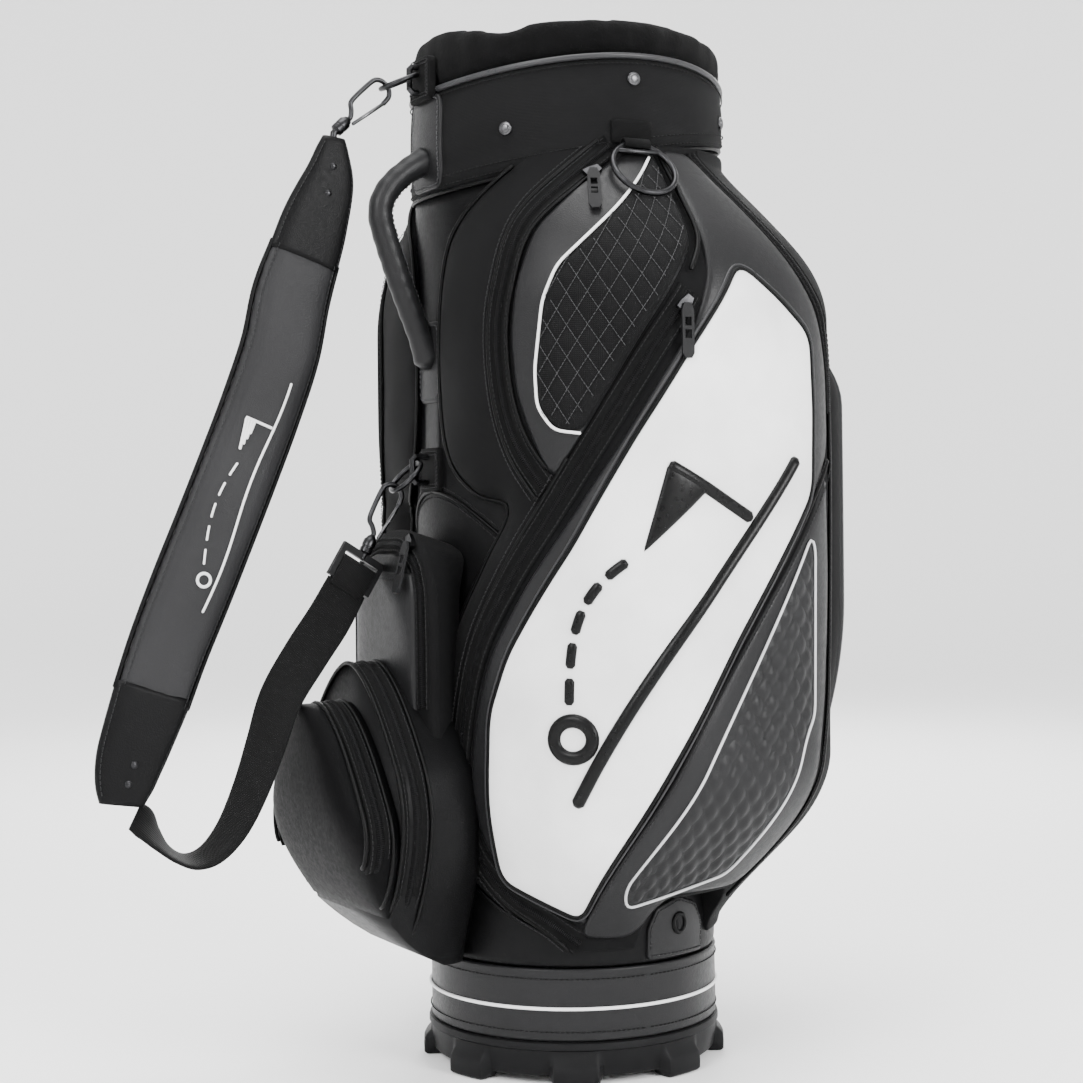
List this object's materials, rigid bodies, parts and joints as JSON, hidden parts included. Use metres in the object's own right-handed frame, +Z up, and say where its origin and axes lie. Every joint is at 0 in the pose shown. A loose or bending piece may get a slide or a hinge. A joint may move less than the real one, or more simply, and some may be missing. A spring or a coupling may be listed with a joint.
{
  "type": "golf staff bag",
  "caption": "Upright golf cart bag with a moulded foot, divided top, padded cuff, carry handle, shoulder strap on snap hooks and zipped side, ball, accessory and rear pockets.",
  "frame": {"origin": "on the floor at the axis of the bag's tube, under the middle of the moulded base", "axes": "+Z up along the tube, -Y towards the ball pocket, handle and strap, +X towards the side pockets with the towel ring"},
  "size_m": [0.4472, 0.68, 0.888],
  "materials": {
    "base_plastic": "moulded, satin",
    "band_leather": "satin grain",
    "white_piping": "smooth vinyl",
    "liner": "matte sheet",
    "cover_fabric": "matte synthetic",
    "collar_fleece": "brushed fleece",
    "cuff_piping": "smooth",
    "divider_plastic": "moulded",
    "divider_fabric": "tricot",
    "pocket_leather": "fine grain, satin",
    "patch_leather": "smooth, satin",
    "dark_metal": "gunmetal, satin",
    "ring_webbing": "woven webbing",
    "strap_leather": "fine grain, satin",
    "strap_cap_leather": "smooth, satin",
    "webbing": "woven webbing",
    "buckle_plastic": "moulded",
    "pull_rubber": "soft moulded"
  },
  "bodies": {
    "bag": {"accessory_pocket": "pocket_leather", "apparel_pocket_left": "pocket_leather", "apparel_pocket_right": "pocket_leather", "ball_pocket": "pocket_leather", "ball_pocket_front": "pocket_leather", "base_band": "band_leather", "base_mould": "base_plastic", "base_piping": "white_piping", "base_plate": "liner", "body_cover": "cover_fabric", "body_tube": "liner", "cuff_band": "cover_fabric", "cuff_collar": "collar_fleece", "cuff_piping": "cuff_piping", "divider_front": "divider_fabric", "divider_rear": "divider_fabric", "handle_grip": "patch_leather", "handle_patch_lower": "patch_leather", "handle_patch_upper": "patch_leather", "keyhole_patch": "patch_leather", "quilt_pocket_left": "pocket_leather", "quilt_pocket_right": "pocket_leather", "rear_pocket": "pocket_leather", "ring_tab_lower": "dark_metal", "ring_tab_upper": "dark_metal", "snap_stud_1": "dark_metal", "snap_stud_2": "dark_metal", "snap_stud_3": "dark_metal", "top_divider": "divider_plastic", "towel_ring_tab": "ring_webbing", "upper_pocket_left": "pocket_leather", "upper_pocket_right": "pocket_leather"},
    "strap": {"strap_pad": "strap_leather", "strap_cap_upper": "strap_cap_leather", "strap_cap_lower": "strap_cap_leather", "strap_webbing": "webbing", "strap_adjuster": "buckle_plastic", "strap_ring_upper": "dark_metal", "strap_ring_lower": "dark_metal"},
    "snap_hook_upper": {"hook_upper": "dark_metal"},
    "hook_gate_upper": {"hook_gate_upper": "dark_metal"},
    "snap_hook_lower": {"hook_lower": "dark_metal"},
    "hook_gate_lower": {"hook_gate_lower": "dark_metal"},
    "towel_ring": {"towel_ring": "dark_metal"},
    "zip_slider_upper_right": {"zip_slider_upper_right": "dark_metal"},
    "zip_pull_upper_right": {"zip_pull_upper_right": "pull_rubber"},
    "zip_slider_apparel_right": {"zip_slider_apparel_right": "dark_metal"},
    "zip_pull_apparel_right": {"zip_pull_apparel_right": "pull_rubber"},
    "zip_slider_upper_left": {"zip_slider_upper_left": "dark_metal"},
    "zip_pull_upper_left": {"zip_pull_upper_left": "pull_rubber"},
    "zip_slider_apparel_left": {"zip_slider_apparel_left": "dark_metal"},
    "zip_pull_apparel_left": {"zip_pull_apparel_left": "pull_rubber"},
    "zip_slider_ball": {"zip_slider_ball": "dark_metal"},
    "zip_pull_ball": {"zip_pull_ball": "pull_rubber"},
    "zip_slider_ball_front": {"zip_slider_ball_front": "dark_metal"},
    "zip_pull_ball_front": {"zip_pull_ball_front": "pull_rubber"},
    "zip_slider_accessory": {"zip_slider_accessory": "dark_metal"},
    "zip_pull_accessory": {"zip_pull_accessory": "pull_rubber"},
    "zip_slider_rear": {"zip_slider_rear": "dark_metal"},
    "zip_pull_rear": {"zip_pull_rear": "pull_rubber"}
  },
  "joints": [
    {"name": "strap_swing", "type": "hinge", "parent": "bag", "child": "strap", "pos_m": [0, -0.1545, 0.6825], "axis": [0, 0, 1], "range_deg": [-20, 20]},
    {"name": "hook_upper_swivel", "type": "hinge", "parent": "strap", "child": "snap_hook_upper", "pos_m": [0, -0.21379, 0.80663], "axis": [0, 0.7283, 0.6853], "range_deg": [-20, 20]},
    {"name": "hook_upper_gate", "type": "hinge", "parent": "snap_hook_upper", "child": "hook_gate_upper", "pos_m": [0, -0.20746, 0.80545], "axis": [1, 0, 0], "range_deg": [0, 25], "stiffness_Nm_per_rad": 0.02},
    {"name": "hook_lower_swivel", "type": "hinge", "parent": "strap", "child": "snap_hook_lower", "pos_m": [0, -0.19403, 0.45516], "axis": [0, 0.4572, 0.8894], "range_deg": [-20, 20]},
    {"name": "hook_lower_gate", "type": "hinge", "parent": "snap_hook_lower", "child": "hook_gate_lower", "pos_m": [0, -0.18767, 0.45616], "axis": [1, 0, 0], "range_deg": [0, 25], "stiffness_Nm_per_rad": 0.02},
    {"name": "towel_ring_swing", "type": "hinge", "parent": "bag", "child": "towel_ring", "pos_m": [0.14541, -0.01785, 0.779], "axis": [-0.1219, -0.9925, 0], "range_deg": [0, 105]},
    {"name": "zip_upper_right_run", "type": "hinge", "parent": "bag", "child": "zip_slider_upper_right", "pos_m": [0.11092, -0.00263, 0.64522], "axis": [0.9585, 0.0044, -0.2849], "range_deg": [0, 36.3]},
    {"name": "zip_upper_right_pull", "type": "hinge", "parent": "zip_slider_upper_right", "child": "zip_pull_upper_right", "pos_m": [0.14824, -0.06041, 0.75605], "axis": [-0.4481, -0.894, 0], "range_deg": [0, 130]},
    {"name": "zip_apparel_right_run", "type": "hinge", "parent": "bag", "child": "zip_slider_apparel_right", "pos_m": [0.09811, 0.14193, 0.51978], "axis": [0.86, 0.3308, -0.3885], "range_deg": [0, 13.6]},
    {"name": "zip_apparel_right_pull", "type": "hinge", "parent": "zip_slider_apparel_right", "child": "zip_pull_apparel_right", "pos_m": [0.22109, -0.01777, 0.64113], "axis": [-0.129, -0.9916, 0], "range_deg": [0, 130]},
    {"name": "zip_upper_left_run", "type": "hinge", "parent": "bag", "child": "zip_slider_upper_left", "pos_m": [-0.11092, -0.00263, 0.64522], "axis": [0.9585, -0.0044, 0.2849], "range_deg": [0, 36.3]},
    {"name": "zip_upper_left_pull", "type": "hinge", "parent": "zip_slider_upper_left", "child": "zip_pull_upper_left", "pos_m": [-0.14824, -0.06041, 0.75605], "axis": [-0.4481, 0.894, 0], "range_deg": [0, 130]},
    {"name": "zip_apparel_left_run", "type": "hinge", "parent": "bag", "child": "zip_slider_apparel_left", "pos_m": [-0.09811, 0.14193, 0.51978], "axis": [0.86, -0.3308, 0.3885], "range_deg": [0, 13.6]},
    {"name": "zip_apparel_left_pull", "type": "hinge", "parent": "zip_slider_apparel_left", "child": "zip_pull_apparel_left", "pos_m": [-0.22109, -0.01777, 0.64113], "axis": [-0.129, 0.9916, 0], "range_deg": [0, 130]},
    {"name": "zip_ball_run", "type": "hinge", "parent": "bag", "child": "zip_slider_ball", "pos_m": [0.20078, -0.206, 0.05684], "axis": [0, -1, 0], "range_deg": [0, 15.1]},
    {"name": "zip_ball_pull", "type": "hinge", "parent": "zip_slider_ball", "child": "zip_pull_ball", "pos_m": [-0.03433, -0.206, 0.3427], "axis": [0, 1, 0], "range_deg": [0, 130]},
    {"name": "zip_ball_front_run", "type": "hinge", "parent": "bag", "child": "zip_slider_ball_front", "pos_m": [0.19552, -0.235, 0.04523], "axis": [0, -1, 0], "range_deg": [0, 13.8]},
    {"name": "zip_ball_front_pull", "type": "hinge", "parent": "zip_slider_ball_front", "child": "zip_pull_ball_front", "pos_m": [-0.03453, -0.235, 0.30941], "axis": [0, 1, 0], "range_deg": [0, 130]},
    {"name": "zip_accessory_run", "type": "hinge", "parent": "bag", "child": "zip_slider_accessory", "pos_m": [-0.00963, -0.16264, 0.39737], "axis": [0.1884, 0.9814, 0.0364], "range_deg": [0, 46.8]},
    {"name": "zip_accessory_pull", "type": "hinge", "parent": "zip_slider_accessory", "child": "zip_pull_accessory", "pos_m": [0.0441, -0.18185, 0.45375], "axis": [-0.9974, -0.0718, 0], "range_deg": [0, 130]},
    {"name": "zip_rear_run", "type": "hinge", "parent": "bag", "child": "zip_slider_rear", "pos_m": [0.02207, 0.04957, 0.61537], "axis": [-0.9135, 0.4067, 0], "range_deg": [0, 11]},
    {"name": "zip_rear_pull", "type": "hinge", "parent": "zip_slider_rear", "child": "zip_pull_rear", "pos_m": [0.07958, 0.18188, 0.70777], "axis": [0.9781, -0.2079, 0], "range_deg": [0, 130]}
  ]
}
